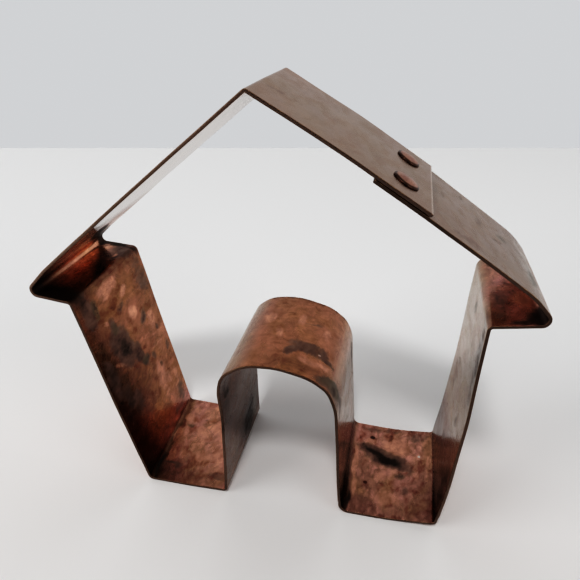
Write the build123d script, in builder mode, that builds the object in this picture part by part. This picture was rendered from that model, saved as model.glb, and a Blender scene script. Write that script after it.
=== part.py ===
"""Cookie cutter in the outline of a gabled house with an arched doorway.

One strip of sheet copper is bent edge-on around the outline and its two ends
overlap on the right-hand roof slope, where two low-headed rivets hold them.

Frame: millimetres, +Z up, the cutter standing on its two feet. X runs across
the house front, from the left eave to the right eave. Y runs through the
cutter, along the strip's width. The origin is on the standing surface, under
the middle of the bounding box.
"""

from build123d import *
import os
from math import atan2, cos, degrees, sin, sqrt

os.makedirs("parts", exist_ok=True)

# ---- driving dimensions -------------------------------------------------

strip_width = 25.4  # width of the copper strip, which is the cutter's depth
sheet = 0.55  # thickness of the copper sheet (16 oz stock)
lap_gap = 0.04  # hairline between the two layers of the lap
lap_length = 9.8  # how far the strip's two ends overlap

rivet_pitch = 12.7  # between the two rivets, along Y
shank_d = 2.2
head_d = 4.4  # low domed outside head
head_t = 0.65
head_rim = 0.15  # thickness left at the rim of the dome
clinch_d = 3.7  # formed head on the inside of the lap
clinch_t = 0.6

# Outline of the strip's middle line in the front view, as (x, z, bend radius)
# at each corner, from the lap's outer end over the ridge and round to the
# eave where the inner end of the lap starts.
lap_end = (25.12, 63.15)
lap_start = (12.12, 71.35)

ridge_to_right_eave = [
    (12.12, 71.35, 200.0),  # slightly crowned right slope
    (-1.50, 79.17, 0.4),  # ridge
    (-27.38, 58.15, 300.0),
    (-40.48, 47.30, 4.0),  # left slope turns down a little at the eave
    (-44.76, 42.95, 1.3),  # left eave tip
    (-35.78, 41.98, 0.9),  # left soffit to left wall
    (-31.03, 20.50, 120.0),  # left wall, slightly bowed
    (-25.92, sheet / 2, 1.1),  # left foot, outer corner
    (-8.80, sheet / 2, 0.8),  # left foot to doorway
    (-8.78, 19.50, 30.0),
    (-9.58, 25.20, 12.0),  # springing of the arch
    (-7.93, 30.10, 6.0),  # arch
    (-4.38, 32.82, 8.0),
    (1.57, 33.34, 14.0),
    (8.16, 31.70, 12.0),
    (11.30, 29.15, 5.0),
    (12.75, 25.77, 13.0),
    (13.81, 9.80, 200.0),  # right side of the doorway
    (14.42, 0.62, 1.8),  # doorway to right foot
    (19.90, sheet / 2, 40.0),  # right foot, slightly dished
    (26.40, sheet / 2, 40.0),
    (32.78, 1.12, 1.0),  # right foot, outer corner
    (34.04, 10.60, 150.0),  # right wall, bowed outwards
    (35.15, 26.40, 150.0),
    (35.54, 38.20, 100.0),
    (35.66, 45.92, 0.6),  # right wall to right soffit
    (44.38, 47.25, 1.2),  # right eave tip
    (40.96, 51.25, 14.0),  # slope curls down to the eave
    (36.68, 54.55, 40.0),
]

# ---- lap directions -----------------------------------------------------

lap_angle = atan2(lap_end[1] - lap_start[1], lap_end[0] - lap_start[0])
along = Vector(cos(lap_angle), 0, sin(lap_angle))  # down the right slope
outward = Vector(-sin(lap_angle), 0, cos(lap_angle))  # away from the house

layer_step = sheet + lap_gap
outer_end = Vector(lap_end[0], 0, lap_end[1])
inner_corner = outer_end - outward * layer_step + along * 0.6
inner_end = outer_end - outward * layer_step - along * lap_length

path = [(outer_end.X, outer_end.Z)]
path += [(x, z) for x, z, _ in ridge_to_right_eave]
path += [(inner_corner.X, inner_corner.Z), (inner_end.X, inner_end.Z)]
bend_radii = [r for _, _, r in ridge_to_right_eave] + [60.0]

# Plane of the front view: sketch x is X, sketch y is Z. It faces -Y, so the
# strip is drawn on its front edge and extruded back along +Y.
front_plane = Plane(
    origin=(0, -strip_width / 2, 0), x_dir=(1, 0, 0), z_dir=(0, -1, 0)
)

# Rivets stand in the middle of the lap, square to the roof slope.
rivet_seat = outer_end - along * (lap_length / 2) + outward * (sheet / 2)
rivet_points = {
    "rivet_front": Vector(rivet_seat.X, -rivet_pitch / 2, rivet_seat.Z),
    "rivet_rear": Vector(rivet_seat.X, rivet_pitch / 2, rivet_seat.Z),
}
rivet_plane = {
    name: Plane(
        origin=point, x_dir=(along.X, along.Y, along.Z),
        z_dir=(outward.X, outward.Y, outward.Z),
    )
    for name, point in rivet_points.items()
}
grip = 2 * sheet + lap_gap  # stack between the two rivet heads

# ---- bent copper strip --------------------------------------------------

with BuildLine() as middle:
    FilletPolyline(*path, radius=bend_radii)

with BuildPart() as cutter_strip:
    with BuildSketch(front_plane):
        with BuildLine():
            inner_face = offset(
                middle.wire(), amount=sheet / 2, side=Side.LEFT, closed=False,
                mode=Mode.ADD,
            ).wire()
            outer_face = offset(
                middle.wire(), amount=sheet / 2, side=Side.RIGHT, closed=False,
                mode=Mode.ADD,
            ).wire()
            for tip in (inner_face @ 0, inner_face @ 1):
                near = min((outer_face @ 0, outer_face @ 1), key=lambda v: (v - tip).length)
                Line(tip, near)
        make_face()
    extrude(amount=-strip_width)
    for plane in rivet_plane.values():
        with BuildSketch(plane.offset(1.0)):
            Circle(shank_d / 2)
        extrude(amount=-4.0, mode=Mode.SUBTRACT)
cutter_strip.part.label = "cutter_strip"
export_step(cutter_strip.part, "parts/cutter_strip.step")

# ---- rivets -------------------------------------------------------------


def cap_drop(rim_r, height, r):
    """Drop below its crown, at radius r, of a spherical cap centred on the
    rivet's axis, with the given height at its rim."""
    ball = (rim_r**2 + height**2) / (2 * height)
    return ball - sqrt(ball**2 - r**2)


def rivet_profile():
    """Half section of a rivet: low domed head outside, shank through both
    layers, and a low formed head inside."""
    head_r = head_d / 2
    head_cap = head_t - head_rim
    clinch_top = -grip
    clinch_r = clinch_d / 2
    clinch_cap = clinch_t - 0.15
    ThreePointArc(
        (0, head_t),
        (head_r / 2, head_t - cap_drop(head_r, head_cap, head_r / 2)),
        (head_r, head_rim),
    )
    Polyline(
        (head_r, head_rim),
        (head_r, 0),
        (shank_d / 2, 0),
        (shank_d / 2, clinch_top),
        (clinch_r, clinch_top),
        (clinch_r, clinch_top - 0.15),
    )
    ThreePointArc(
        (clinch_r, clinch_top - 0.15),
        (clinch_r / 2,
         clinch_top - clinch_t + cap_drop(clinch_r, clinch_cap, clinch_r / 2)),
        (0, clinch_top - clinch_t),
    )
    Line((0, clinch_top - clinch_t), (0, head_t))


def section_plane(name):
    """Plane through the rivet's axis, sketch y pointing out of the roof."""
    base = rivet_plane[name]
    return Plane(origin=base.origin, x_dir=base.x_dir, z_dir=-base.y_dir)


with BuildPart() as rivet_front:
    with BuildSketch(section_plane("rivet_front")):
        with BuildLine():
            rivet_profile()
        make_face()
    revolve(axis=Axis(rivet_plane["rivet_front"].origin, outward))
rivet_front.part.label = "rivet_front"
export_step(rivet_front.part, "parts/rivet_front.step")

with BuildPart() as rivet_rear:
    with BuildSketch(section_plane("rivet_rear")):
        with BuildLine():
            rivet_profile()
        make_face()
    revolve(axis=Axis(rivet_plane["rivet_rear"].origin, outward))
rivet_rear.part.label = "rivet_rear"
export_step(rivet_rear.part, "parts/rivet_rear.step")

box = cutter_strip.part.bounding_box()
print("strip x", round(box.min.X, 3), round(box.max.X, 3))
print("strip z", round(box.min.Z, 3), round(box.max.Z, 3))
print("roof slope at the lap, degrees", round(degrees(lap_angle), 2))
print("strip length", round(middle.wire().length, 1))
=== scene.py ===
"""Looks for the house-outline cookie cutter: one bent strip of aged copper and
the two rivets that close it, on a pale floor in soft light."""

import math

import bpy
import numpy as np
from mathutils import Matrix, Vector, noise


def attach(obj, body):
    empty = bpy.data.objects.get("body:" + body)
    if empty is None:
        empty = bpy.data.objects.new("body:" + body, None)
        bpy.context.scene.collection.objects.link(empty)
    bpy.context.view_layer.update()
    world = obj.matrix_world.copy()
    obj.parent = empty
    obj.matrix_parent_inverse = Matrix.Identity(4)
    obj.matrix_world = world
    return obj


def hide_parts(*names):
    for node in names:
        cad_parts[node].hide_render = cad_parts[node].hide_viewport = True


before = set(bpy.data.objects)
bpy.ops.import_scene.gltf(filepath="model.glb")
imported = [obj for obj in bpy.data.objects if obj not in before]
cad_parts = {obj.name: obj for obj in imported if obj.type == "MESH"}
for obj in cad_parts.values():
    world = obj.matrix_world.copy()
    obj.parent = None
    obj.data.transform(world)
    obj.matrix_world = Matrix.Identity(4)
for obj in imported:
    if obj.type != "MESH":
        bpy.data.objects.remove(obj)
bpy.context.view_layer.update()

MM = 0.001
WIDTH = 25.4  # width of the strip, along Y
FRONT, BACK = -WIDTH / 2, WIDTH / 2

# --------------------------------------------------------------------------
# Outline of the strip's middle line, as (x, z, bend radius) in mm at each
# corner. The hand-bent strip isn't quite square, so its front and back edges
# have their own outlines, and the rows between them blend from one to the
# other. Both start at the outer end of the lap, run over the ridge and round
# the house, and end at the inner end of the lap.
# --------------------------------------------------------------------------

FRONT_LINE = [
    (25.12, 63.15, 0), (11.51, 71.71, 200), (-1.52, 79.17, 0.38), (-27.50, 58.01, 300),
    (-39.91, 47.55, 4), (-44.54, 42.94, 1.2), (-35.73, 41.90, 0.9), (-30.74, 19.88, 120),
    (-25.79, 0.34, 1.1), (-16.91, 0.28, 60), (-8.96, 0.51, 0.7), (-8.44, 19.76, 30),
    (-9.12, 25.97, 10), (-8.28, 29.70, 4.5), (-4.02, 32.85, 8), (2.15, 33.27, 14),
    (8.09, 31.83, 13), (11.40, 29.46, 4.5), (12.93, 25.47, 13), (13.94, 10.11, 200),
    (14.64, 0.41, 1.8), (23.55, 0.28, 60), (32.87, 1.18, 1), (34.22, 10.68, 150),
    (35.19, 26.87, 150), (35.42, 38.51, 100), (35.66, 46.01, 0.65), (45.02, 47.39, 1.2),
    (41.30, 51.55, 14), (36.83, 54.58, 40), (25.03, 62.40, 100), (16.79, 67.62, 0),
]
BACK_LINE = [
    (25.12, 63.15, 0), (12.71, 71.06, 200), (-1.36, 79.13, 0.38), (-27.14, 58.08, 300),
    (-40.64, 46.97, 4), (-44.98, 42.84, 1.7), (-35.42, 42.07, 0.9), (-30.93, 20.90, 120),
    (-26.62, 0.80, 1.1), (-16.12, 0.28, 60), (-8.80, 0.62, 0.7), (-9.20, 19.57, 30),
    (-9.28, 25.26, 10), (-7.88, 30.12, 4.5), (-4.60, 32.63, 8), (1.12, 33.42, 14),
    (8.26, 31.58, 13), (11.36, 29.05, 4.5), (12.79, 26.06, 13), (13.84, 9.51, 200),
    (14.40, 0.87, 1.8), (24.91, 0.28, 60), (32.94, 1.07, 1), (34.09, 10.66, 150),
    (35.32, 25.87, 150), (35.77, 38.02, 100), (36.20, 45.78, 1.5), (44.61, 47.06, 1.2),
    (41.07, 51.27, 14), (36.57, 54.48, 40), (25.02, 62.42, 100), (16.81, 67.64, 0),
]
INSIDE, OUTSIDE = 0.29, -0.26  # faces of the sheet, from the middle line
RIM = 0.13  # round on the strip's long edges


def rounded_path(corners, runs, turns):
    """Points along a path with rounded corners: runs[i] steps on each straight
    run and turns[i] steps round each corner, so that two outlines with the
    same corners give matching points."""
    P = [np.array(c[:2], float) for c in corners]
    n = len(P)
    arcs = []
    for i in range(1, n - 1):
        a, b = P[i - 1] - P[i], P[i + 1] - P[i]
        la, lb = np.linalg.norm(a), np.linalg.norm(b)
        a, b = a / la, b / lb
        half = math.acos(max(-1.0, min(1.0, float(a @ b)))) / 2
        tangent = min(corners[i][2] / math.tan(half), 0.48 * la, 0.48 * lb)
        r = tangent * math.tan(half)
        bis = (a + b) / np.linalg.norm(a + b)
        c = P[i] + bis * r / math.sin(half)
        v0, v1 = P[i] + a * tangent - c, P[i] + b * tangent - c
        turn = math.atan2(v0[0] * v1[1] - v0[1] * v1[0], float(v0 @ v1))
        arc = []
        for k in range(turns[i] + 1):
            t = turn * k / turns[i]
            arc.append(c + np.array([
                v0[0] * math.cos(t) - v0[1] * math.sin(t),
                v0[0] * math.sin(t) + v0[1] * math.cos(t)]))
        arcs.append(arc)
    out = []
    here = P[0]
    for i in range(n - 1):
        to = arcs[i][0] if i < n - 2 else P[-1]
        for k in range(runs[i]):
            out.append(here + (to - here) * k / runs[i])
        if i < n - 2:
            out.extend(arcs[i][:-1])
            here = arcs[i][-1]
    out.append(P[-1])
    return np.array(out)


def steps_for(front, back, step=0.42):
    """How many steps each run and corner gets, from the mean outline."""
    mean = [tuple((np.array(a) + np.array(b)) / 2) for a, b in zip(front, back)]
    P = [np.array(c[:2]) for c in mean]
    runs, turns = [], [0]
    for i in range(1, len(P) - 1):
        a, b = P[i - 1] - P[i], P[i + 1] - P[i]
        cosine = float(a @ b) / np.linalg.norm(a) / np.linalg.norm(b)
        turn = math.pi - math.acos(max(-1.0, min(1.0, cosine)))
        arc = turn * mean[i][2]
        turns.append(int(max(3, math.degrees(turn) / 7 + 1, min(arc, 20) / step)))
    turns.append(0)
    for i in range(len(P) - 1):
        runs.append(max(2, int(np.linalg.norm(P[i + 1] - P[i]) / step)))
    return runs, turns


RUNS, TURNS = steps_for(FRONT_LINE, BACK_LINE)


def line_at(y):
    t = (y - FRONT) / WIDTH
    corners = [
        tuple(np.array(a) * (1 - t) + np.array(b) * t)
        for a, b in zip(FRONT_LINE, BACK_LINE)
    ]
    return rounded_path(corners, RUNS, TURNS)


def normals_of(line):
    seg = np.diff(line, axis=0)
    seg /= np.maximum(np.linalg.norm(seg, axis=1), 1e-9)[:, None]
    t = np.vstack([seg[:1], seg[:-1] + seg[1:], seg[-1:]])
    t /= np.linalg.norm(t, axis=1)[:, None]
    return np.stack([-t[:, 1], t[:, 0]], 1)


MEAN = (line_at(FRONT) + line_at(BACK)) / 2
S = np.concatenate([[0], np.cumsum(np.linalg.norm(np.diff(MEAN, axis=0), axis=1))])
LENGTH = float(S[-1])


def warp2(s, y, scale, seed):
    """Smooth repeatable noise over the sheet, about -1 to 1."""
    return noise.noise(Vector((s / scale, y / scale, seed)))


# --------------------------------------------------------------------------
# Strip mesh: a ring of points round the sheet's section at every step along
# the strip.
# --------------------------------------------------------------------------

RIVET_S = 4.9  # from the outer end of the lap, along the outer layer
RIVET_Y = {"rivet_front": -6.35, "rivet_rear": 6.35}
HOLE_R = 1.12


def ring_layout():
    """(y, offset, edge) for each point round the section. edge runs from 0 on
    the faces to 1 in the middle of the narrow edges."""
    flat = [FRONT + RIM, FRONT + RIM + 0.05]
    n = 48
    for k in range(1, n):
        flat.append(FRONT + RIM + (WIDTH - 2 * RIM) * k / n)
    flat += [BACK - RIM - 0.05, BACK - RIM]
    pts = [(y, INSIDE, 0.0) for y in flat]
    steps = 4
    for k in range(1, steps + 1):  # round to the back edge
        a = math.pi / 2 * k / steps
        pts.append((BACK - RIM + RIM * math.sin(a), INSIDE - RIM + RIM * math.cos(a), 0.8 * k / steps))
    pts.append((BACK, (INSIDE + OUTSIDE) / 2, 1.0))
    for k in range(0, steps):
        a = math.pi / 2 * k / steps
        pts.append((BACK - RIM + RIM * math.cos(a), OUTSIDE + RIM - RIM * math.sin(a), 0.8 * (1 - k / steps)))
    pts += [(y, OUTSIDE, 0.0) for y in reversed(flat)]
    for k in range(1, steps + 1):  # round to the front edge
        a = math.pi / 2 * k / steps
        pts.append((FRONT + RIM - RIM * math.sin(a), OUTSIDE + RIM - RIM * math.cos(a), 0.8 * k / steps))
    pts.append((FRONT, (INSIDE + OUTSIDE) / 2, 1.0))
    for k in range(0, steps):
        a = math.pi / 2 * k / steps
        pts.append((FRONT + RIM - RIM * math.cos(a), INSIDE - RIM + RIM * math.sin(a), 0.8 * (1 - k / steps)))
    return pts, len(flat)


def sheet_wobble(s, y):
    """The hand-bent sheet isn't quite flat: long soft waves, in mm."""
    fade = min(1.0, min(s, LENGTH - s) / 12.0)
    low = 0.10 * warp2(s, y, 17.0, 3.1) + 0.05 * warp2(s, y, 8.0, 7.7)
    return low * fade


ring, n_flat = ring_layout()
n_ring = len(ring)
lines = {}
for y, _, _ in ring:
    key = round(y, 5)
    if key not in lines:
        line = line_at(y)
        lines[key] = (line, normals_of(line))
n_s = len(S)

co = np.zeros((n_s, n_ring, 3))
att_s = np.zeros((n_s, n_ring))
att_y = np.zeros((n_s, n_ring))
att_side = np.zeros((n_s, n_ring))
att_edge = np.zeros((n_s, n_ring))
for k, (y, off, edge) in enumerate(ring):
    line, nrm = lines[round(y, 5)]
    ys = max(FRONT, min(BACK, y))
    for j in range(n_s):
        s = float(S[j])
        w = sheet_wobble(s, ys)
        foot = line[j][1] < 3.0
        if foot:
            w = 0.0
        x, z = line[j] + nrm[j] * (off + w)
        co[j, k] = (x, y + 0.03 * warp2(s, 0.0, 6.0, 1.0 if y < 0 else 9.0) * (abs(y) > 12), z)
    att_s[:, k] = S
    att_y[:, k] = y
    att_side[:, k] = 1.0 if off > 0.1 else (-1.0 if off < -0.1 else 0.0)
    att_edge[:, k] = edge

# the two cut ends of the strip get the same small round
ends = []
for j0, direction in ((0, -1.0), (n_s - 1, 1.0)):
    tangent = (co[1, :, :] - co[0, :, :]) if j0 == 0 else (co[-1, :, :] - co[-2, :, :])
    tangent[:, 1] = 0
    tangent /= np.linalg.norm(tangent, axis=1)[:, None]
    ends.append((j0, direction * 1.0, tangent))

verts = [tuple(p) for p in co.reshape(-1, 3)]
vals = {
    "s_mm": list(att_s.ravel()), "y_mm": list(att_y.ravel()),
    "side": list(att_side.ravel()), "edge": list(att_edge.ravel()),
}
faces = []


def vid(j, k):
    return j * n_ring + k % n_ring


def in_hole(j, k):
    """Whether the face between steps j, j+1 and ring points k, k+1 is cut away
    for a rivet, in the outer layer or in the inner one."""
    for r_y in RIVET_Y.values():
        for r_s in (RIVET_S, LENGTH - RIVET_S):
            ss = (S[j] + S[j + 1]) / 2
            yy = (ring[k][0] + ring[(k + 1) % n_ring][0]) / 2
            if math.hypot(ss - r_s, yy - r_y) < HOLE_R - 0.1:
                return (r_s, r_y)
    return None


holes = {}
for j in range(n_s - 1):
    near = S[j] < 12 or S[j] > LENGTH - 12
    for k in range(n_ring):
        if near:
            flat_face = k < n_flat - 1 or (n_flat + 8 <= k < 2 * n_flat + 8)
            hole = in_hole(j, k) if flat_face else None
            if hole:
                holes.setdefault((hole, ring[k][1] > 0), []).append((j, k))
                continue
        faces.append((vid(j, k), vid(j, k + 1), vid(j + 1, k + 1), vid(j + 1, k)))

# round each rivet hole and line its wall
for (hole, inner), cut in holes.items():
    edges = {}
    for j, k in cut:
        loop = [(j, k), (j, k + 1), (j + 1, k + 1), (j + 1, k)]
        for a, b in zip(loop, loop[1:] + loop[:1]):
            edges[(a, b)] = edges.get((a, b), 0) + 1
    rim = [e for e in edges if (e[1], e[0]) not in edges]
    for a, b in rim:
        for j, k in (a, b):
            v = vid(j, k)
            ds, dy = att_s[j, k % n_ring] - hole[0], att_y[j, k % n_ring] - hole[1]
            r = math.hypot(ds, dy)
            tangent = co[min(j + 1, n_s - 1), k % n_ring] - co[max(j - 1, 0), k % n_ring]
            tangent = tangent / np.linalg.norm(tangent)
            move_s, move_y = ds / r * HOLE_R - ds, dy / r * HOLE_R - dy
            base = co[j, k % n_ring]
            verts[v] = tuple(base + tangent * move_s + np.array([0, move_y, 0]))
    if inner:
        for a, b in rim:
            # the same rim on the outside face, mirrored round the section
            def across(p):
                return (p[0], 2 * n_flat + 8 - p[1])
            faces.append((vid(*a), vid(*b), vid(*across(b)), vid(*across(a))))

# caps with a small round at both cut ends
for j0, direction, tangent in ends:
    previous = [vid(j0, k) for k in range(n_ring)]
    centre = co[j0].mean(axis=0)
    for step, (out, shrink) in enumerate(((0.05, 0.02), (0.10, 0.07), (0.12, 0.12))):
        current = []
        for k in range(n_ring):
            y, off, edge = ring[k]
            mid = (INSIDE + OUTSIDE) / 2
            j_line, nrm = lines[round(y, 5)]
            t = (off - mid)
            new_off = mid + math.copysign(max(0.0, abs(t) - shrink), t) if abs(t) > 0.02 else off
            new_y = math.copysign(max(0.0, abs(y) - shrink), y) if abs(y) > BACK - RIM - 0.06 else y
            x, z = j_line[j0] + nrm[j0] * new_off
            p = np.array([x, new_y, z]) + tangent[k] * direction * out
            verts.append(tuple(p))
            for name, grid in (("s_mm", att_s), ("y_mm", att_y), ("side", att_side)):
                vals[name].append(float(grid[j0, k]))
            vals["edge"].append(max(edge, 0.35 * (step + 1)))
            current.append(len(verts) - 1)
        for k in range(n_ring):
            quad = (previous[k], previous[(k + 1) % n_ring], current[(k + 1) % n_ring], current[k])
            faces.append(tuple(reversed(quad)) if direction < 0 else quad)
        previous = current
    for k in range(n_flat - 1):
        m = 2 * n_flat + 8 - k
        quad = (previous[k], previous[k + 1], previous[m - 1], previous[m])
        faces.append(tuple(reversed(quad)) if direction < 0 else quad)
    back_fan = [previous[k] for k in range(n_flat - 1, n_flat + 10)]
    front_fan = [previous[k % n_ring] for k in range(2 * n_flat + 8, 2 * n_flat + 18)] + [previous[0]]
    for fan in (back_fan, front_fan):
        fan = list(dict.fromkeys(fan))
        faces.append(tuple(reversed(fan)) if direction < 0 else tuple(fan))

used = sorted({v for f in faces for v in f})
renumber = {v: i for i, v in enumerate(used)}
mesh = bpy.data.meshes.new("cutter_strip_aged")
mesh.from_pydata(
    [tuple(c * MM for c in verts[v]) for v in used], [],
    [tuple(renumber[v] for v in f) for f in faces],
)
mesh.validate()
strip = bpy.data.objects.new("cutter_strip_aged", mesh)
bpy.context.scene.collection.objects.link(strip)
mesh.shade_smooth()

s_v = np.array([vals["s_mm"][v] for v in used])
y_v = np.array([vals["y_mm"][v] for v in used])
side_v = np.array([vals["side"][v] for v in used])
edge_v = np.array([vals["edge"][v] for v in used])


def put(mesh, name, values):
    a = mesh.attributes.new(name, "FLOAT", "POINT")
    a.data.foreach_set("value", np.asarray(values, np.float32))


put(mesh, "s_mm", s_v)
put(mesh, "y_mm", y_v)
put(mesh, "side", side_v)
put(mesh, "edge", edge_v)
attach(strip, "root")
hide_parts("cutter_strip")

# --------------------------------------------------------------------------
# Tarnish and painted shade. The sheet's ground tone changes along the strip, and
# patches of tarnish and of fresher metal are laid over it. Both are given in strip
# coordinates: s along the strip from the outer end of the lap, y across it, and
# +1 for the face inside the outline or -1 for the outside face. The values are
# the metal's own reflectance, with painted light worked in: painted shade in
# the eaves' corners and low on the walls, a painted shadow beside the lap's end,
# painted highlights along the left eave's fold, on rims and on the lap's end,
# and painted reflections on the left soffit and the doorway's side.
# --------------------------------------------------------------------------

TONES = {
    "pale": (0.45, 0.36, 0.298),  # smooth metal with hardly any tarnish
    "tan": (0.40, 0.25, 0.172),
    "brown": (0.39, 0.178, 0.102),
    "warm": (0.60, 0.30, 0.195),
    "rose": (0.61, 0.308, 0.222),
    "red": (0.52, 0.185, 0.12),
    "umber": (0.29, 0.168, 0.104),  # even brown of the roof's outside
    "wine": (0.62, 0.285, 0.235),
    "fawn": (0.42, 0.275, 0.195),
    "ash": (0.365, 0.265, 0.198),
    "dusk": (0.24, 0.12, 0.08),
    "slate": (0.122, 0.055, 0.032),
}

GROUND = {  # (s, tone, how bright)
    1: [
        (0, "tan", 0.8), (30, "tan", 0.85), (33, "pale", 1.0), (66, "pale", 1.0), (74, "brown", 0.85),
        # s 86 to 90 nears full reflectance: a painted highlight along the left eave's fold and a painted red reflection
        # on its soffit
        (79, "brown", 1.15), (84, "warm", 1.0), (85.4, "warm", 1.0), (86.3, "warm", 1.5), (87.6, "warm", 1.62), (89.4, "warm", 1.55), (91.2, "warm", 0.60), (92.5, "red", 0.35),
        (94, "dusk", 1.2), (96, "brown", 0.88), (106, "brown", 0.84), (118, "brown", 1.02),
        # the dusk at s 136 to 137.2, in the crease into the left foot, is painted shade
        (127, "brown", 1.15), (131, "brown", 1.02), (135, "wine", 0.72), (136.0, "dusk", 0.9), (137.2, "dusk", 1.0), (138.2, "rose", 0.95), (140, "rose", 1.03),
        (153, "rose", 1.05), (156, "brown", 1.0), (178, "tan", 0.88), (184, "tan", 0.90),
        (188, "brown", 1.06), (202, "brown", 1.08), (208, "tan", 0.90), (222, "tan", 0.86),
        # the dusk at s 229 to 232.6 and 251.5 to 262, where the arch's flank and the right wall meet the right foot, is
        # painted shade
        (229, "dusk", 0.82), (232.6, "dusk", 0.7), (234, "rose", 1.02), (236, "rose", 0.95),
        (248, "rose", 0.93), (250, "rose", 0.80), (251.5, "dusk", 0.75), (258, "dusk", 0.70), (262, "dusk", 1.0),
        (266, "fawn", 1.02), (274, "fawn", 0.95), (284, "ash", 1.0), (294.3, "ash", 1.0), (295.7, "rose", 0.78), (298, "wine", 0.95),
        (301, "wine", 1.06), (304, "dusk", 0.8), (308, "tan", 0.75), (338, "tan", 0.75),
    ],
    -1: [
        (0, "umber", 0.97), (12, "umber", 1.0), (32, "umber", 1.05), (84, "umber", 1.0),
        (95, "brown", 0.85), (140, "brown", 0.9), (146, "tan", 0.85), (153, "dusk", 1.0),
        (156.5, "slate", 0.95), (168, "slate", 1.0), (178, "slate", 0.95), (190, "slate", 1.1),
        (210, "dusk", 0.8), (232, "brown", 0.8), (242, "tan", 0.85), (251, "brown", 0.9),
        (303, "brown", 0.85), (306, "umber", 0.79), (313, "umber", 0.9), (338, "umber", 0.93),
    ],
}
GROUND = {k: [(s, tuple(c * f for c in TONES[t])) for s, t, f in rows] for k, rows in GROUND.items()}

# the narrow cut edge, brightness along the strip
CUT_EDGE = [(0, 0.9), (31, 0.9), (33, 1.0), (64, 1.05), (72, 1.5), (84, 1.4), (90, 1.0), (122, 1.0), (130, 0.7),
            (138, 1.1), (154, 1.0), (160, 1.35), (168, 1.2), (171, 0.5), (174, 1.1), (186, 1.1), (192, 0.9),
            (204, 0.75), (212, 0.95), (226, 0.95), (234, 1.1), (250, 1.1), (256, 1.2), (272, 1.0), (290, 0.7),
            (300, 0.75), (308, 0.9), (316, 0.85), (324, 0.6), (338, 0.6)]

# how smooth the metal was left, along the strip's inside face
POLISH = {1: [(31, 0.0), (33, 1.0), (66, 1.0), (73, 0.0)], -1: [(0, 0.0), (338, 0.0)]}

# how strongly each stretch is mottled, the same way
MOTTLE = {
    1: [(0, 0.35), (31, 0.2), (68, 0.3), (86, 0.4), (94, 0.55), (134, 0.6), (138, 0.66), (153, 0.66),
        (158, 0.4), (182, 0.25), (186, 0.32), (204, 0.32), (209, 0.2), (231, 0.3), (234, 0.78),
        (250, 0.78), (253, 0.25), (262, 0.12), (293, 0.12), (296, 0.6), (303, 0.6), (308, 0.35),
        (338, 0.35)],
    -1: [(0, 0.10), (31, 0.12), (36, 0.4), (150, 0.45), (156, 0.35), (180, 0.35), (250, 0.5),
         (302, 0.45), (306, 0.16), (327, 0.14), (338, 0.3)],
}

# (side, s, y, half length, half width, angle in degrees, strength)
DARK = [
    # left wall: tarnish blotches, and painted shade low at the front and along the crease into the foot
    (1, 109.6, -3.6, 3.8, 2.2, 25, 0.60), (1, 113.2, -0.6, 1.7, 1.2, 20, 0.52), (1, 106.0, -5.0, 1.6, 1.0, 0, 0.40),
    (1, 101.7, -0.3, 1.9, 0.7, -48, 0.50), (1, 107.4, 5.9, 2.3, 0.65, -42, 0.44), (1, 105.6, 7.8, 1.2, 0.7, 10, 0.45),
    (1, 98.4, -7.4, 2.4, 0.6, 3, 0.60), (1, 136.6, -8.5, 0.7, 4.0, 0, 0.8), (1, 121.0, 6.0, 0.7, 0.6, 0, 0.5),
    (1, 117.0, 5.0, 0.7, 1.4, 30, 0.40), (1, 118.6, -8.6, 2.6, 1.2, 10, 0.5), (1, 112.3, 9.4, 0.7, 0.6, 0, 0.45),
    (1, 133.6, -1.5, 1.6, 3.2, 10, 0.38), (1, 136.5, 0.0, 0.6, 11.0, 0, 0.40),
    # left eave: painted shade in the wedge between slope and soffit, front and back, partly tarnish
    (1, 91.0, -10.8, 4.4, 3.2, 0, 0.85), (1, 89.7, 11.9, 3.4, 1.4, 0, 0.95), (1, 92.8, 6.0, 0.8, 1.6, -30, 0.55),
    (1, 84.8, 12.0, 4.8, 2.3, 0, 1.0), (1, 79.5, 5.2, 7.5, 2.4, 50, 1.0), (1, 84.9, -2.0, 0.7, 5.0, 0, 0.4), (1, 88.0, -11.5, 4.0, 2.4, 0, 0.9),
    (1, 93.2, -1.0, 0.5, 5.0, 10, 0.5), (1, 94.2, 11.6, 1.6, 1.0, 0, 0.6),
    # side of the doorway: partly tarnish, partly painted reflection of the shadowed floor
    (-1, 158.8, 4.2, 4.6, 5.2, -40, 0.56), (-1, 176.5, -9.4, 3.0, 1.6, -25, 0.60),
    # arch and its right flank
    (1, 195, 12.3, 11, 0.7, 0, 0.55), (1, 212.0, 10.4, 3.6, 0.8, 0, 0.70), (1, 221.0, 12.2, 8.0, 0.5, 0, 0.55), (1, 205.0, -10.4, 1.2, 1.4, 30, 0.5),
    # right foot
    (1, 239.4, 3.2, 5.4, 0.9, -27, 0.85), (1, 240.6, 2.5, 3.4, 1.3, -26, 1.0), (1, 235.4, 5.6, 1.1, 0.9, -30, 0.55),
    (1, 243.4, -1.9, 0.8, 0.9, 0, 0.5), (1, 233.2, -10, 0.6, 3.5, 0, 0.7),
    # right wall: painted shade low by the foot and along the front edge
    (1, 288.0, -11.0, 8.5, 1.2, 0, 0.50), (1, 256.5, -9.5, 5.0, 2.4, -15, 0.6), (1, 283.5, -10.6, 3.4, 0.8, 0, 0.36),
    # right eave: painted shade in the soffit's front corner, with tarnish spots
    (1, 296.8, -3.4, 1.1, 3.4, 12, 0.26), (1, 302.4, -10.4, 2.4, 3.4, 0, 1.0), (1, 296.4, 9.8, 1.0, 1.5, 0, 0.62), (1, 298.4, -1.6, 1.0, 1.1, 0, 0.5),
    (1, 298.6, 1.6, 1.3, 0.5, -50, 0.55), (1, 300.4, -11.9, 4.2, 0.9, 0, 0.8), (1, 299.3, -1.2, 0.4, 2.2, 20, 0.5),
    (1, 298.0, -7.0, 0.9, 0.6, 20, 0.5), (1, 301.6, 2.6, 0.5, 1.8, 30, 0.5),
]
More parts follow.
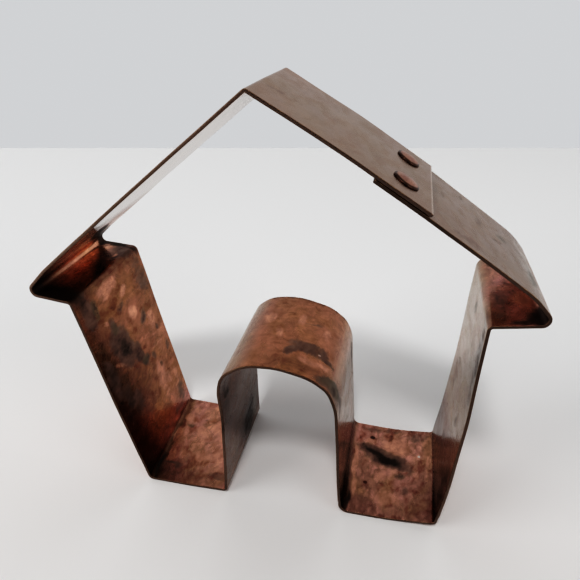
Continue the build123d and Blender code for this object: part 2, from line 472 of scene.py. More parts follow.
FILM = [
    # left wall
    (1, 109.4, -4.0, 5.2, 3.3, 25, 1.0), (1, 113.2, -0.2, 2.6, 2.0, 20, 0.95), (1, 115.9, 1.4, 1.5, 2.0, -10, 0.8),
    (1, 104.6, -4.6, 3.0, 1.6, 0, 0.75), (1, 99.6, 10.2, 5.6, 3.0, 0, 0.58), (1, 102.0, -0.6, 2.6, 1.3, -45, 0.58),
    (1, 107.4, 5.9, 2.8, 1.1, -42, 0.58), (1, 93.4, 8.4, 1.7, 3.4, 0, 0.62), (1, 98.0, -9.6, 4.6, 2.3, 0, 0.75), (1, 112.3, 9.6, 0.9, 0.7, 20, 0.65),
    (1, 118.6, 10.9, 1.9, 1.0, 0, 0.62), (1, 121.0, 6.0, 0.8, 0.7, 0, 0.6), (1, 117.3, 4.6, 1.6, 1.2, 40, 0.56),
    (1, 119.5, -7.0, 5.0, 2.6, 30, 0.62), (1, 112.0, -10.6, 5.0, 2.0, 0, 0.7), (1, 131.5, 9.8, 3.4, 2.2, 0, 0.55),
    (1, 134.0, 6.4, 1.2, 3.6, -14, 0.55),
    # left foot: a few greyer cells
    (1, 139.7, 3.7, 1.1, 0.8, 0, 0.50), (1, 144.9, -0.9, 1.8, 0.8, 0, 0.44), (1, 142.2, 6.0, 1.6, 0.8, 0, 0.44),
    (1, 139.2, -7.9, 1.8, 0.6, 0, 0.7), (1, 151.0, -9.6, 2.2, 1.2, 0, 0.6), (1, 145.0, 7.6, 0.9, 0.8, 0, 0.42), (1, 140.6, -8.2, 1.4, 1.2, 0, 0.56),
    # side of the doorway, arch
    (1, 198.7, -4.2, 4.4, 2.3, 0, 0.74), (1, 194.7, -6.4, 2.0, 1.0, 55, 0.9), (1, 202.0, -5.4, 2.2, 0.8, -18, 0.85),
    (1, 204.2, -10.4, 4.2, 1.7, 22, 0.85), (1, 198.2, 4.2, 2.4, 0.6, 10, 0.46), (1, 191.5, 9.4, 2.2, 0.7, 0, 0.44),
    (1, 211.6, 9.8, 3.8, 1.6, 0, 0.8), (1, 209.5, -9.5, 2.5, 2.0, -30, 0.6), (1, 217.5, -1.2, 2.2, 1.0, 0, 0.40),
    # right foot
    (1, 240.2, 3.0, 6.6, 2.2, -26, 1.0), (1, 246.6, 10.4, 3.2, 1.9, 0, 0.56), (1, 236.6, 11.0, 3.0, 1.0, 0, 0.55),
    (1, 243.4, -2.0, 1.3, 1.4, 0, 0.58), (1, 243.8, 0.0, 1.4, 0.8, -10, 0.6), (1, 244.8, -5.6, 0.9, 2.0, 0, 0.62), (1, 236.8, -9.2, 1.8, 1.2, 0, 0.34),
    (1, 240.6, 11.4, 2.0, 0.9, 0, 0.55),
    # right wall: tarnish film, and painted shade along the front edge
    (1, 274, 6.5, 7.5, 3.6, -10, 0.40), (1, 269.2, -5.0, 2.2, 1.7, 0, 0.42), (1, 290.5, 2.2, 1.6, 3.2, 35, 0.42),
    (1, 286.0, -10.8, 10.0, 2.2, 0, 0.50), (1, 283, -1.5, 4.0, 1.4, -30, 0.38),
    # right eave
    (1, 297.4, -4.4, 1.9, 4.4, 8, 0.52), (1, 296.6, 11.2, 1.4, 1.8, 0, 0.75), (1, 296.8, -10.2, 1.9, 2.0, 0, 0.50),
    # right slope
    (-1, 311.6, 4.2, 1.5, 2.0, -20, 0.52), (-1, 313.4, 0.2, 2.6, 0.6, -28, 0.52), (-1, 320.6, 9.3, 0.7, 2.0, 15, 0.52),
    (-1, 324.8, 2.0, 0.8, 4.0, 5, 0.46), (-1, 317.2, 3.4, 1.2, 2.6, 0, 0.44), (-1, 306.6, -4.5, 1.2, 5.0, 8, 0.5),
    (-1, 320.0, -10.0, 4.0, 2.0, 8, 0.48), (-1, 311.4, -6.4, 0.9, 0.8, 0, 0.5), (-1, 24.6, -3.6, 1.2, 0.8, 30, 0.44),
    (-1, 28.4, -4.6, 2.4, 1.0, -20, 0.42),
]
FRESH = [
    # left wall
    (1, 109.6, 8.6, 2.8, 2.0, 0, 0.62), (1, 104.9, 3.0, 2.2, 2.2, 0, 0.66), (1, 123.6, 5.0, 5.2, 3.0, 0, 0.66),
    (1, 96.6, -2.0, 1.9, 4.2, 0, 0.62), (1, 111.7, -7.0, 3.0, 0.6, 62, 0.62), (1, 102.2, -6.2, 1.2, 0.8, 20, 0.6),
    (1, 116.6, 8.2, 1.8, 1.6, 0, 0.56), (1, 126.5, 10.0, 2.6, 1.2, 0, 0.56), (1, 99.4, 2.2, 1.4, 2.2, 20, 0.58),
    # left foot
    (1, 139.4, 8.8, 1.1, 1.2, 0, 0.9), (1, 138.4, 6.3, 1.2, 1.3, 0, 1.0), (1, 142.0, 8.8, 1.0, 1.0, 0, 0.75), (1, 145.9, 4.6, 1.1, 2.4, 0, 1.0),
    # the bright spot at s 137.4, on the bend up into the wall, is a painted glint
    (1, 142.3, 3.0, 1.3, 1.5, 0, 0.8), (1, 137.4, 0.6, 0.9, 2.4, 0, 1.0), (1, 138.4, -5.6, 0.9, 2.2, 0, 0.95), (1, 145.2, -5.2, 2.2, 1.8, 0, 0.7), (1, 92.3, 6.8, 0.5, 0.9, 0, 0.80),
    (1, 149.0, -4.6, 1.8, 1.6, 5, 0.66),
    (1, 143.6, -0.8, 1.4, 1.6, -30, 0.62), (1, 141.0, -4.6, 1.2, 1.4, 0, 0.6),
    # arch
    (1, 188.8, 4.2, 1.8, 2.8, 10, 0.6), (1, 191.4, -1.0, 1.0, 3.2, 8, 0.62), (1, 200.6, 2.6, 1.0, 2.6, -8, 0.6),
    (1, 195.2, 4.6, 1.2, 2.4, 0, 0.56), (1, 198.4, -8.2, 3.4, 1.3, 4, 0.52), (1, 201.6, -7.6, 2.0, 1.0, 8, 0.62),
    # right foot
    (1, 242.3, 6.4, 2.5, 3.0, -8, 1.0), (1, 236.6, 7.4, 1.6, 1.2, 0, 0.7), (1, 233.9, 1.2, 0.7, 5.0, 0, 0.9),
    (1, 249.3, 2.0, 0.9, 6.5, 0, 0.5), (1, 241.4, -8.0, 3.4, 2.4, 0, 0.62), (1, 234.4, -6.4, 0.9, 3.0, 0, 0.66),
    (1, 239.8, -2.2, 1.4, 1.8, 0, 0.6), (1, 246.6, -0.6, 1.0, 2.6, 10, 0.58),
    # right soffit
    (1, 297.2, 5.2, 1.3, 3.2, 22, 0.42), (1, 300.4, -4.6, 1.4, 2.6, 10, 0.85), (1, 296.9, -8.6, 0.8, 1.3, 0, 0.4), (1, 297.9, -4.3, 0.5, 0.7, 0, 0.8),
]
OLIVE = [
    (1, 115.8, 1.2, 1.4, 1.6, 0, 0.8), (1, 104.6, -4.4, 1.8, 1.2, 0, 0.7), (1, 98.5, -7.6, 2.6, 0.9, 0, 0.9),
    (1, 139.6, 3.8, 1.2, 0.9, 0, 0.7), (1, 144.9, -0.9, 1.4, 0.9, 0, 0.45), (1, 204.4, -10.2, 4.0, 1.6, 22, 0.8), (1, 240.6, 4.0, 4.0, 0.8, -26, 0.5),
    (1, 243.6, -2.0, 1.2, 1.2, 0, 0.6), (1, 290.5, 2.2, 1.0, 2.8, 35, 0.7), (1, 269.2, -4.8, 1.4, 1.4, 0, 0.6),
    (-1, 306.8, -4.0, 1.5, 6.0, 8, 0.7), (-1, 158.0, 9.0, 6.0, 2.0, 0, 0.6), (-1, 312.0, 3.6, 1.4, 1.8, 0, 0.6),
]
# (side, s, y, half length, half width, angle, factor on the ground tone). Much of
# this is painted shade: low on the walls' fronts and by the feet, in the eaves'
# front and back corners, along the right wall's front edge, and a painted shadow
# beside the lap's outer end. The factor above 1 low on the doorway's side is a
# painted reflection of the lit floor; the rest is tone.
PAINTED_SHADE_AND_TONE = [
    (1, 121, -4.0, 8.0, 4.5, 0, 0.66), (1, 104, 9.5, 7.0, 3.0, 0, 0.85), (1, 145, -11.2, 12.0, 1.6, 0, 0.76),
    (1, 129, -10.8, 14.0, 4.2, 0, 0.26), (1, 134.5, -6.0, 3.0, 7.0, 0, 0.66), (1, 108, -10.5, 12.0, 3.6, 0, 0.62), (1, 115, -10.9, 8.0, 2.6, 0, 0.38),
    (1, 80, -9.0, 12.0, 6.0, 20, 0.40), (1, 92.0, 10.2, 2.4, 3.4, 0, 0.40), (1, 91, -11.2, 5.0, 3.5, 0, 0.20), (1, 86, -10.4, 2.4, 5.0, 0, 0.15),
    (1, 242, -11.2, 12.0, 1.8, 0, 0.80), (1, 241, 11.8, 12.0, 1.0, 0, 0.80), (1, 227, -7.5, 8.0, 7.0, -45, 0.20),
    (1, 259, -8.6, 10.0, 6.0, -22, 0.29), (1, 254, 0.0, 4.5, 12.0, 0, 0.62), (1, 236.5, -3.5, 3.5, 9.0, 0, 0.85),
    (1, 205.5, -10.5, 3.0, 2.6, 0, 0.7), (-1, 160, -8.5, 6.5, 3.6, -10, 1.45), (-1, 158.5, 4.8, 5.0, 5.5, -40, 0.26),
    (-1, 174, -10.0, 6.0, 3.5, -20, 0.75), (1, 198, -10.2, 6.0, 1.6, 0, 0.64),
    (-1, 31, 12.0, 6.0, 3.0, 0, 1.12), (-1, 26, 12.4, 20, 1.6, 0, 1.08), (-1, 316, 12.4, 20, 1.6, 0, 1.06),
    (-1, 326.8, 0.0, 0.9, 12.0, 0, 0.72), (1, 76, 0.0, 6.0, 10.0, 0, 0.95), (1, 298.2, -5.0, 2.6, 7.0, 0, 0.92),
    (1, 288, -10.6, 8.0, 1.9, 0, 0.44), (1, 297.4, 5.0, 1.6, 5.0, 20, 0.85),
]


def along_strip(table, s, side):
    """Values of a table keyed by side, interpolated along the strip."""
    out = None
    for key, rows in table.items():
        at = np.array([r[0] for r in rows], float)
        col = np.array([r[1] for r in rows], float).reshape(len(rows), -1)
        v = np.stack([np.interp(s, at, col[:, i]) for i in range(col.shape[1])], 1)
        if out is None:
            out = np.zeros_like(v)
        near = np.clip(0.5 + 0.5 * side * key, 0, 1)
        out += v * near[:, None]
    return out


def spot_radius(spot, s, y):
    _, s0, y0, rs, ry, angle, _ = spot
    a = math.radians(angle)
    u = (s - s0) * math.cos(a) + (y - y0) * math.sin(a)
    v = -(s - s0) * math.sin(a) + (y - y0) * math.cos(a)
    return (u / rs) ** 2 + (v / ry) ** 2


def spots(table, s, y, side):
    """Union of soft spots: 0.5 on a full-strength spot's own outline."""
    out = np.zeros(len(s))
    for spot in table:
        near = side * spot[0] > -0.5
        r2 = spot_radius(spot, s[near], y[near])
        out[near] = np.maximum(out[near], spot[6] / (1 + r2 * r2))
    return out


wander_s = np.array([0.9 * warp2(a, b, 2.6, 11.0 + c) + 0.4 * warp2(a, b, 1.1, 15.0 + c) for a, b, c in zip(s_v, y_v, side_v)])
wander_y = np.array([0.9 * warp2(a, b, 2.6, 21.0 + c) + 0.4 * warp2(a, b, 1.1, 25.0 + c) for a, b, c in zip(s_v, y_v, side_v)])
s_w, y_w = s_v + wander_s * 0.6, y_v + wander_y * 0.6

ground = along_strip(GROUND, s_v + wander_s * 0.5, side_v)
# painted shade, painted reflection and tone, multiplied into the ground tone
for spot in PAINTED_SHADE_AND_TONE:
    near = side_v * spot[0] > -0.5
    r2 = spot_radius(spot, s_w, y_w)
    ground *= np.where(near, 1 + (spot[6] - 1) * np.exp(-0.7 * r2), 1.0)[:, None]
# faces that the house turns away from the light have had longer to darken
hidden = np.where(side_v > 0, (s_v < 30) | (s_v > 306), (s_v > 33) & (s_v < 152) | (s_v > 184) & (s_v < 303)).astype(float)
film = np.maximum(spots(FILM, s_w, y_w, side_v), 0.30 * hidden)
fresh = np.maximum(spots(FRESH, s_w, y_w, side_v), 0.26 * hidden)

colour = mesh.attributes.new("ground", "FLOAT_COLOR", "POINT")
colour.data.foreach_set("color", np.concatenate([ground, np.ones((len(ground), 1))], 1).astype(np.float32).ravel())
put(mesh, "mottle", along_strip(MOTTLE, s_v, side_v)[:, 0])
put(mesh, "dark", spots(DARK, s_w, y_w, side_v))
put(mesh, "film", film)
put(mesh, "fresh", fresh)
put(mesh, "olive", spots(OLIVE, s_w, y_w, side_v))
put(mesh, "arch", np.clip(1 - np.abs(s_v - 195.5) / 14, 0, 1) * (side_v > 0))
put(mesh, "polish", along_strip(POLISH, s_v, side_v)[:, 0])
put(mesh, "cut", np.interp(s_v, [r[0] for r in CUT_EDGE], [r[1] for r in CUT_EDGE]))
# painted glint lines on the rims: along the roof's front edge, and round the lap's outer end
painted_rim_glint = np.where(side_v < 0.5, np.clip(np.where(s_v < 33, 1.0, (s_v - 300) / 6), 0, 1), 0.12)
put(mesh, "painted_rim_glint", painted_rim_glint)
# painted highlight: a pale line along the top of the lap's outer end
put(mesh, "lip", (s_v < 0.02) * (side_v < 0) * (edge_v < 0.4))

# --------------------------------------------------------------------------
# Materials
# --------------------------------------------------------------------------


class Nodes:
    """Short names for building a node tree."""

    def __init__(self, name):
        self.mat = bpy.data.materials.new(name)
        self.mat.use_nodes = True
        self.tree = self.mat.node_tree
        self.tree.nodes.clear()
        self.out = self.tree.nodes.new("ShaderNodeOutputMaterial")
        self.bsdf = self.tree.nodes.new("ShaderNodeBsdfPrincipled")
        self.tree.links.new(self.bsdf.outputs[0], self.out.inputs[0])

    def new(self, kind, **props):
        n = self.tree.nodes.new(kind)
        for k, v in props.items():
            setattr(n, k, v)
        return n

    def link(self, a, b):
        self.tree.links.new(a, b)

    def feed(self, socket, value):
        if hasattr(value, "is_output"):
            self.link(value, socket)
        elif isinstance(value, (tuple, list)) and len(value) == 3 and len(socket.default_value) == 4:
            socket.default_value = (*value, 1.0)
        else:
            socket.default_value = value

    def attr(self, name):
        return self.new("ShaderNodeAttribute", attribute_name=name).outputs["Fac"]

    def math(self, op, a, b=None, c=None, clamp=False):
        n = self.new("ShaderNodeMath", operation=op, use_clamp=clamp)
        for i, v in enumerate((a, b, c)):
            if v is not None:
                self.feed(n.inputs[i], v)
        return n.outputs[0]

    def vec(self, x, y, z):
        n = self.new("ShaderNodeCombineXYZ")
        for i, v in enumerate((x, y, z)):
            self.feed(n.inputs[i], v)
        return n.outputs[0]

    def vmath(self, op, a, b):
        n = self.new("ShaderNodeVectorMath", operation=op)
        self.feed(n.inputs[0], a)
        self.feed(n.inputs[1], b)
        return n.outputs[0]

    def noise(self, vec, scale, detail=4.0, rough=0.55, distortion=0.0):
        n = self.new("ShaderNodeTexNoise")
        self.link(vec, n.inputs["Vector"])
        n.inputs["Scale"].default_value = scale
        n.inputs["Detail"].default_value = detail
        n.inputs["Roughness"].default_value = rough
        n.inputs["Distortion"].default_value = distortion
        return n.outputs["Fac"]

    def noise_colour(self, vec, scale, detail=2.0):
        n = self.new("ShaderNodeTexNoise")
        self.link(vec, n.inputs["Vector"])
        n.inputs["Scale"].default_value = scale
        n.inputs["Detail"].default_value = detail
        return n.outputs["Color"]

    def cells(self, vec, scale, feature="DISTANCE_TO_EDGE", randomness=1.0):
        n = self.new("ShaderNodeTexVoronoi", feature=feature)
        self.link(vec, n.inputs["Vector"])
        n.inputs["Scale"].default_value = scale
        n.inputs["Randomness"].default_value = randomness
        return n.outputs["Distance"]

    def cell_value(self, vec, scale):
        n = self.new("ShaderNodeTexVoronoi", feature="F1")
        self.link(vec, n.inputs["Vector"])
        n.inputs["Scale"].default_value = scale
        return n.outputs["Color"]

    def scale(self, vec, by):
        n = self.new("ShaderNodeVectorMath", operation="SCALE")
        self.feed(n.inputs[0], vec)
        self.feed(n.inputs["Scale"], by)
        return n.outputs[0]

    def length(self, vec):
        n = self.new("ShaderNodeVectorMath", operation="LENGTH")
        self.feed(n.inputs[0], vec)
        return n.outputs["Value"]

    def ramp(self, value, lo, hi, out_lo=0.0, out_hi=1.0, smooth=True):
        n = self.new("ShaderNodeMapRange", interpolation_type="SMOOTHSTEP" if smooth else "LINEAR", clamp=True)
        for i, v in enumerate((value, lo, hi, out_lo, out_hi)):
            self.feed(n.inputs[i], v)
        return n.outputs[0]

    def mix(self, fac, a, b):
        n = self.new("ShaderNodeMix", data_type="RGBA", blend_type="MIX")
        self.feed(n.inputs[0], fac)
        self.feed(n.inputs[6], a)
        self.feed(n.inputs[7], b)
        return n.outputs[2]

    def blend(self, fac, a, b):
        n = self.new("ShaderNodeMix", data_type="FLOAT")
        self.feed(n.inputs[0], fac)
        self.feed(n.inputs[2], a)
        self.feed(n.inputs[3], b)
        return n.outputs[0]

    def bump(self, height, strength, distance, normal=None):
        n = self.new("ShaderNodeBump")
        n.inputs["Strength"].default_value = strength
        n.inputs["Distance"].default_value = distance
        self.link(height, n.inputs["Height"])
        if normal is not None:
            self.link(normal, n.inputs["Normal"])
        return n.outputs[0]


def aged_copper():
    m = Nodes("aged_copper_sheet")
    s, y, side, edge = m.attr("s_mm"), m.attr("y_mm"), m.attr("side"), m.attr("edge")
    mottle, dark_at, film_at = m.attr("mottle"), m.attr("dark"), m.attr("film")
    fresh_at, olive_at, arch = m.attr("fresh"), m.attr("olive"), m.attr("arch")
    ground = m.new("ShaderNodeAttribute", attribute_name="ground").outputs["Color"]

    place = m.vec(s, y, m.math("MULTIPLY", side, 37.0))
    # the tarnish runs across the strip, so its pattern is longer that way
    p = m.vmath("MULTIPLY", place, (1.0, 0.6, 1.0))
    drift = m.vmath("MULTIPLY", m.vmath("SUBTRACT", m.noise_colour(p, 0.35), (0.5, 0.5, 0.5)), (3.0, 3.0, 3.0))
    q = m.vmath("ADD", p, drift)
    small = m.vmath("MULTIPLY", m.vmath("SUBTRACT", m.noise_colour(p, 1.1), (0.5, 0.5, 0.5)), (1.3, 1.3, 1.3))
    pebble_at = m.vmath("ADD", p, small)
    cloud = m.noise(q, 0.11, 5.0, 0.6)
    hue = m.noise(q, 0.20, 2.0, 0.5)
    patch = m.noise(q, 0.42, 3.0, 0.5)
    blob = m.noise(pebble_at, 0.72, 1.5, 0.5)
    fine = m.noise(p, 1.7, 4.0, 0.55)
    grain = m.noise(p, 7.0, 3.0, 0.6)
    streak = m.noise(m.vmath("MULTIPLY", q, (0.5, 1.9, 1.0)), 0.8, 3.0, 0.55)

    # pebbled tarnish: cells about a millimetre across with darker outlines
    cell = m.cell_value(pebble_at, 0.62)
    gap = m.cells(pebble_at, 0.62)
    outline = m.math("MULTIPLY", m.ramp(gap, 0.0, 0.26, 1.0, 0.0), m.ramp(patch, 0.40, 0.62))

    def centred(value, gain):
        return m.math("MULTIPLY", m.math("SUBTRACT", value, 0.5), gain)

    swing = m.math("ADD", centred(patch, 2.0), m.math("ADD", centred(cell, 0.50), centred(blob, 2.2)))
    swing = m.math("ADD", swing, centred(fine, 0.3))
    swing = m.math("ADD", m.math("MULTIPLY", swing, mottle), m.math("MULTIPLY", centred(streak, 1.5), arch))
    swing = m.math("ADD", swing, centred(cloud, 0.30))
    value = m.math("MAXIMUM", m.math("ADD", 1.0, swing), 0.25)
    tone = m.scale(ground, value)
    # redder where it is darker, and drifting between pink and olive brown
    tone = m.mix(m.ramp(value, 0.95, 0.55), tone, m.vmath("MULTIPLY", tone, (1.06, 0.88, 0.84)))
    lean = m.math("MULTIPLY", m.ramp(hue, 0.36, 0.64, -1.0, 1.0), m.math("ADD", 0.25, m.math("MULTIPLY", mottle, 0.75)))
    tone = m.mix(m.math("MULTIPLY", m.math("MAXIMUM", lean, 0.0), 0.7), tone, m.vmath("MULTIPLY", tone, (0.97, 1.0, 0.82)))
    tone = m.mix(m.math("MULTIPLY", m.math("MAXIMUM", m.math("MULTIPLY", lean, -1.0), 0.0), 0.8), tone,
                 m.vmath("MULTIPLY", tone, (1.04, 0.98, 1.09)))
    tone = m.mix(m.math("MULTIPLY", outline, m.math("MULTIPLY", mottle, 0.62)), tone, (0.14, 0.074, 0.050))

    def mask(at, lo, hi, big=0.5, little=0.5):
        grown = m.math("ADD", at, m.math("ADD", centred(patch, big), centred(fine, little)))
        return m.ramp(grown, lo, hi)

    fresh = mask(fresh_at, 0.30, 0.75, 0.6, 0.3)
    fresh_tone = m.scale((0.68, 0.34, 0.228), m.math("ADD", 1.0, m.math("ADD", centred(blob, 1.3), centred(cell, 0.3))))
    tone = m.mix(m.math("MULTIPLY", fresh, 0.75), tone, fresh_tone)
    film = mask(film_at, 0.30, 0.70, 0.7, 0.4)
    film_tone = m.scale((0.150, 0.095, 0.075), m.math("ADD", 1.0, m.math("ADD", centred(blob, 1.6), centred(patch, 1.6))))
    tone = m.mix(m.math("MULTIPLY", film, 0.85), tone, film_tone)
    olive = mask(olive_at, 0.30, 0.70)
    tone = m.mix(m.math("MULTIPLY", olive, 0.5), tone, (0.13, 0.112, 0.072))
    # dark spots: tarnish, and painted shade in the eaves' corners and low on the walls
    dark = mask(dark_at, 0.28, 0.88, 0.7, 0.5)
    tone = m.mix(m.math("MULTIPLY", dark, 0.94), tone, (0.030, 0.020, 0.016))

    # small separate spots; the near-white one on the right foot is a painted glint
    for s0, y0, r, spot_tone in (
        (237.0, 8.6, 0.40, (0.070, 0.032, 0.024)), (236.8, -4.7, 0.34, (0.10, 0.034, 0.024)),
        (247.0, 4.5, 0.26, (0.80, 0.66, 0.58)), (200.3, -4.9, 0.2, (0.60, 0.40, 0.32)),
    ):
        away = m.length(m.vmath("SUBTRACT", place, (s0, y0, 37.0)))
        away = m.math("ADD", away, centred(fine, 0.5))
        tone = m.mix(m.ramp(away, r, r * 1.7, 1.0, 0.0), tone, spot_tone)

    rim = m.ramp(edge, 0.02, 0.3)
    cut = m.ramp(edge, 0.30, 0.7)
    # painted glint: a golden line on the rounded rims, where they would catch the light
    glint = m.math("MULTIPLY", m.ramp(m.noise(p, 0.55, 4.0, 0.6), 0.44, 0.66), m.attr("painted_rim_glint"))
    tone = m.mix(m.math("MULTIPLY", rim, 0.75), tone, (0.11, 0.066, 0.044))
    tone = m.mix(m.math("MULTIPLY", rim, m.math("MULTIPLY", glint, 0.9)), tone, (0.36, 0.215, 0.105))
    edge_tone = m.mix(m.ramp(fine, 0.38, 0.66), (0.075, 0.050, 0.038), (0.145, 0.098, 0.076))
    tone = m.mix(cut, tone, m.scale(edge_tone, m.attr("cut")))
    # painted highlight along the lap's outer end
    tone = m.mix(m.math("MULTIPLY", m.attr("lip"), 0.85), tone, (0.62, 0.49, 0.40))
    m.feed(m.bsdf.inputs["Base Color"], tone)
    m.bsdf.inputs["Metallic"].default_value = 1.0

    polish = m.attr("polish")
    rough = m.ramp(patch, 0.3, 0.7, 0.20, 0.30)
    rough = m.blend(polish, rough, 0.13)
    rough = m.blend(fresh, rough, 0.27)
    rough = m.blend(film, rough, 0.40)
    rough = m.blend(dark, rough, 0.58)
    rough = m.blend(m.math("MULTIPLY", rim, 0.8), rough, 0.50)
    rough = m.blend(cut, rough, 0.42)
    m.feed(m.bsdf.inputs["Roughness"], rough)

    height = m.math("ADD", m.math("MULTIPLY", patch, 0.9), m.math("MULTIPLY", m.ramp(gap, 0.0, 0.35), 0.35))
    relief = m.math("MULTIPLY", m.math("ADD", 0.15, mottle), m.math("SUBTRACT", 1.0, m.math("MULTIPLY", polish, 0.95)))
    n1 = m.bump(m.math("MULTIPLY", height, relief), 0.4, 0.00010)
    worn = m.math("MULTIPLY", m.math("ADD", 0.15, mottle), m.math("SUBTRACT", 1.0, m.math("MULTIPLY", polish, 0.92)))
    n2 = m.bump(m.math("MULTIPLY", fine, worn), 0.2, 0.00003, n1)
    n3 = m.bump(m.math("MULTIPLY", grain, m.math("SUBTRACT", 1.0, m.math("MULTIPLY", polish, 0.92))), 0.15, 0.00001, n2)
    m.feed(m.bsdf.inputs["Normal"], n3)
    return m.mat


strip.data.materials.append(aged_copper())

# --------------------------------------------------------------------------
# Rivets
# --------------------------------------------------------------------------

along = Vector((math.cos(math.radians(-32.24)), 0.0, math.sin(math.radians(-32.24))))
outward = Vector((-along.z, 0.0, along.x))


def rivet(name, seed):
    y0 = RIVET_Y[name]
    seat = Vector((25.12, y0, 63.15)) - along * RIVET_S + outward * 0.275
    # half section, from the crown of the head to the crown of the formed head
    section = [
        (0.0, 0.65), (0.3, 0.645), (0.6, 0.625), (0.9, 0.59), (1.2, 0.54), (1.5, 0.475), (1.75, 0.405),
        (1.95, 0.33), (2.09, 0.26), (2.17, 0.19), (2.2, 0.12), (2.19, 0.04), (2.14, -0.01),
        (1.6, -0.01), (1.1, -0.01), (1.1, -0.4), (1.1, -0.8), (1.1, -1.16), (1.5, -1.16),
        (1.78, -1.16), (1.85, -1.22), (1.85, -1.31), (1.78, -1.42), (1.5, -1.55), (1.0, -1.67),
        (0.5, -1.725), (0.0, -1.74),
    ]
    n = 64
    verts, faces = [], []
    for i, (r, h) in enumerate(section):
        if r == 0.0:
            verts.append((r, h, 0.0))
            continue
        for k in range(n):
            verts.append((r, h, 2 * math.pi * k / n))
    starts, at = [], 0
    for r, _ in section:
        starts.append(at)
        at += 1 if r == 0.0 else n
    for i in range(len(section) - 1):
        for k in range(n):
            a, b = starts[i], starts[i + 1]
            k2 = (k + 1) % n
            if section[i][0] == 0.0:
                faces.append((a, b + k, b + k2))
            elif section[i + 1][0] == 0.0:
                faces.append((a + k2, a + k, b))
            else:
                faces.append((a + k, b + k, b + k2, a + k2))
    out = []
    for r, h, t in verts:
        if r > 1.15:
            r *= 1 + 0.022 * math.sin(2 * t + seed) + 0.012 * math.sin(5 * t + 2 * seed)
        if h > 0.1:
            dent = noise.noise(Vector((r * math.cos(t) * 1.1, r * math.sin(t) * 1.1, seed)))
            h += 0.05 * dent * min(1.0, (2.2 - min(r, 2.2)) / 0.6)
        p = seat + along * (r * math.cos(t)) + Vector((0, 1, 0)) * (r * math.sin(t)) + outward * h
        out.append(tuple(c * MM for c in p))
    mesh = bpy.data.meshes.new(name + "_aged")
    mesh.from_pydata(out, [], faces)
    mesh.validate()
    mesh.shade_smooth()
    put(mesh, "rim", [max(0.0, min(1.0, (r - 1.5) / 0.6)) if h > 0 else 0.0 for r, h, t in verts])
    o = bpy.data.objects.new(name + "_aged", mesh)
    bpy.context.scene.collection.objects.link(o)
    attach(o, "root")
    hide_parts(name)
    return o


def rivet_copper():
    m = Nodes("rivet_copper")
    tc = m.new("ShaderNodeTexCoord").outputs["Object"]
    p = m.vmath("MULTIPLY", tc, (1000.0, 1000.0, 1000.0))
    patch = m.noise(p, 0.8, 5.0, 0.6)
    fine = m.noise(p, 4.0, 4.0, 0.6)
    rim = m.attr("rim")
    tone = m.mix(m.ramp(patch, 0.35, 0.65), (0.34, 0.17, 0.125), (0.46, 0.25, 0.175))
    # the head goes near-black towards its edge
    head_edge_dark = m.ramp(m.math("ADD", rim, m.math("MULTIPLY", m.math("SUBTRACT", fine, 0.5), 0.8)), 0.35, 0.85)
    tone = m.mix(m.math("MULTIPLY", head_edge_dark, 0.88), tone, (0.045, 0.026, 0.018))
    m.feed(m.bsdf.inputs["Base Color"], tone)
    m.bsdf.inputs["Metallic"].default_value = 1.0
    m.feed(m.bsdf.inputs["Roughness"], m.ramp(fine, 0.3, 0.7, 0.26, 0.40))
    n1 = m.bump(patch, 0.4, 0.0001)
    m.feed(m.bsdf.inputs["Normal"], m.bump(fine, 0.4, 0.00003, n1))
    return m.mat


rivet_material = rivet_copper()
for name, seed in (("rivet_front", 1.3), ("rivet_rear", 4.1)):
    rivet(name, seed).data.materials.append(rivet_material)

# --------------------------------------------------------------------------
# Floor, backdrop, light and camera
# --------------------------------------------------------------------------


def quad(name, corners, material):
    mesh = bpy.data.meshes.new(name)
    mesh.from_pydata(corners, [], [(0, 1, 2, 3)])
    mesh.materials.append(material)
    o = bpy.data.objects.new(name, mesh)
    bpy.context.scene.collection.objects.link(o)
    return o


def floor_paper():
    """Pale matt paper, a little greyer towards the front of the table."""
    m = Nodes("pale_paper")
    place = m.new("ShaderNodeSeparateXYZ")
    m.link(m.new("ShaderNodeTexCoord").outputs["Object"], place.inputs[0])
    back = m.ramp(place.outputs["Y"], -0.03, 0.06)
    m.feed(m.bsdf.inputs["Base Color"], m.mix(back, (0.82, 0.807, 0.798), (0.86, 0.86, 0.86)))
    m.bsdf.inputs["Roughness"].default_value = 0.6
    m.bsdf.inputs["Specular IOR Level"].default_value = 0.25
    return m.mat


def far_edge(x):
    """The table's far edge, square to the line of sight."""
    return 0.2840 + 0.1999 * x


quad("floor", [(-2, -2, 0), (2, -2, 0), (2, far_edge(2), 0), (-2, far_edge(-2), 0)], floor_paper())


def soft_light(name, azimuth, elevation, distance, size, power, colour=(1, 1, 1)):
    """A round soft light. Azimuth 0 is in front of the object and 90 on its right."""
    data = bpy.data.lights.new(name, "AREA")
    data.shape = "DISK"
    data.size = size
    data.energy = power
    data.color = colour
    o = bpy.data.objects.new(name, data)
    bpy.context.scene.collection.objects.link(o)
    a, e = math.radians(azimuth), math.radians(elevation)
    away = Vector((math.sin(a) * math.cos(e), -math.cos(a) * math.cos(e), math.sin(e)))
    o.location = away * distance
    o.rotation_mode = "QUATERNION"
    o.rotation_quaternion = (-away).to_track_quat("-Z", "Y")
    o.visible_camera = False
    return o


soft_light("key", 0, 62, 1.5, 0.26, 7.2)
soft_light("left_fill", -60, 20, 1.5, 1.20, 15.2)
soft_light("right_fill", 62, 20, 1.5, 1.09, 6.6)
# even out the paper behind the house without more reflections in the copper
soft_light("paper_light_back", 180, 28, 1.5, 1.50, 3.4).visible_glossy = False
soft_light("paper_light_left", -125, 28, 1.5, 1.30, 2.0).visible_glossy = False

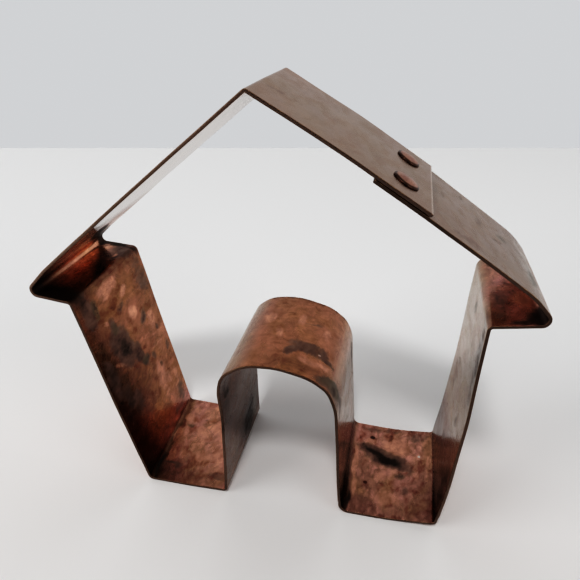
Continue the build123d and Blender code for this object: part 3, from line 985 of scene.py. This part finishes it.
# The room is pale behind the object, greyer overhead, and dim in front.
world = bpy.data.worlds.new("studio")
bpy.context.scene.world = world
world.use_nodes = True
wt = world.node_tree
wt.nodes.clear()


def world_ramp(value, lo, hi):
    n = wt.nodes.new("ShaderNodeMapRange")
    n.interpolation_type = "SMOOTHSTEP"
    n.inputs["From Min"].default_value = lo
    n.inputs["From Max"].default_value = hi
    wt.links.new(value, n.inputs["Value"])
    return n.outputs["Result"]


def world_mix(fac, a, b):
    n = wt.nodes.new("ShaderNodeMix")
    n.data_type = "RGBA"
    wt.links.new(fac, n.inputs[0])
    for i, v in ((6, a), (7, b)):
        if isinstance(v, tuple):
            n.inputs[i].default_value = (*v, 1.0)
        else:
            wt.links.new(v, n.inputs[i])
    return n.outputs[2]


w_out = wt.nodes.new("ShaderNodeOutputWorld")
w_room = wt.nodes.new("ShaderNodeBackground")
w_seen = wt.nodes.new("ShaderNodeBackground")
w_seen.inputs["Color"].default_value = (0.635, 0.645, 0.66, 1.0)
w_pick = wt.nodes.new("ShaderNodeMixShader")
w_ray = wt.nodes.new("ShaderNodeLightPath")
w_dir = wt.nodes.new("ShaderNodeTexCoord")
w_split = wt.nodes.new("ShaderNodeSeparateXYZ")
wt.links.new(w_dir.outputs["Generated"], w_split.inputs[0])
w_up = world_mix(world_ramp(w_split.outputs["Z"], 0.45, 0.85), (0.64, 0.645, 0.655), (0.42, 0.42, 0.42))
w_all = world_mix(world_ramp(w_split.outputs["Y"], -0.15, 0.40), (0.05, 0.048, 0.046), w_up)
wt.links.new(w_all, w_room.inputs["Color"])
wt.links.new(w_ray.outputs["Is Camera Ray"], w_pick.inputs[0])
wt.links.new(w_room.outputs[0], w_pick.inputs[1])
wt.links.new(w_seen.outputs[0], w_pick.inputs[2])
wt.links.new(w_pick.outputs[0], w_out.inputs[0])

CAM_AT = Vector((20.92777, -86.83900, 90.28990)) * MM
CAM_RIGHT = Vector((0.97742, 0.21128, -0.00386))
CAM_DOWN = Vector((0.09737, -0.46651, -0.87914))
CAM_AHEAD = Vector((-0.18755, 0.85891, -0.47655))
camera_data = bpy.data.cameras.new("camera")
camera_data.sensor_width = 36.0
camera_data.lens = 542.5287 / 580.0 * 36.0
camera_data.clip_start = 0.002
camera_data.clip_end = 20.0
camera = bpy.data.objects.new("camera", camera_data)
bpy.context.scene.collection.objects.link(camera)
x_axis = CAM_RIGHT.normalized()
z_axis = -CAM_AHEAD.normalized()
y_axis = z_axis.cross(x_axis).normalized()
x_axis = y_axis.cross(z_axis)
camera.matrix_world = Matrix((
    (x_axis.x, y_axis.x, z_axis.x, CAM_AT.x),
    (x_axis.y, y_axis.y, z_axis.y, CAM_AT.y),
    (x_axis.z, y_axis.z, z_axis.z, CAM_AT.z),
    (0, 0, 0, 1),
))
bpy.context.scene.camera = camera
bpy.context.scene.view_settings.view_transform = "Standard"
# a camera's contrast: shadows fall off faster than in linear light
bpy.context.scene.view_settings.use_curve_mapping = True
tone_curve = bpy.context.scene.view_settings.curve_mapping.curves[3]
for x, y in ((0.03, 0.008), (0.06, 0.022), (0.10, 0.053), (0.16, 0.105), (0.22, 0.172),
             (0.30, 0.262), (0.40, 0.385), (0.65, 0.65)):
    tone_curve.points.new(x, y)
bpy.context.scene.view_settings.curve_mapping.update()
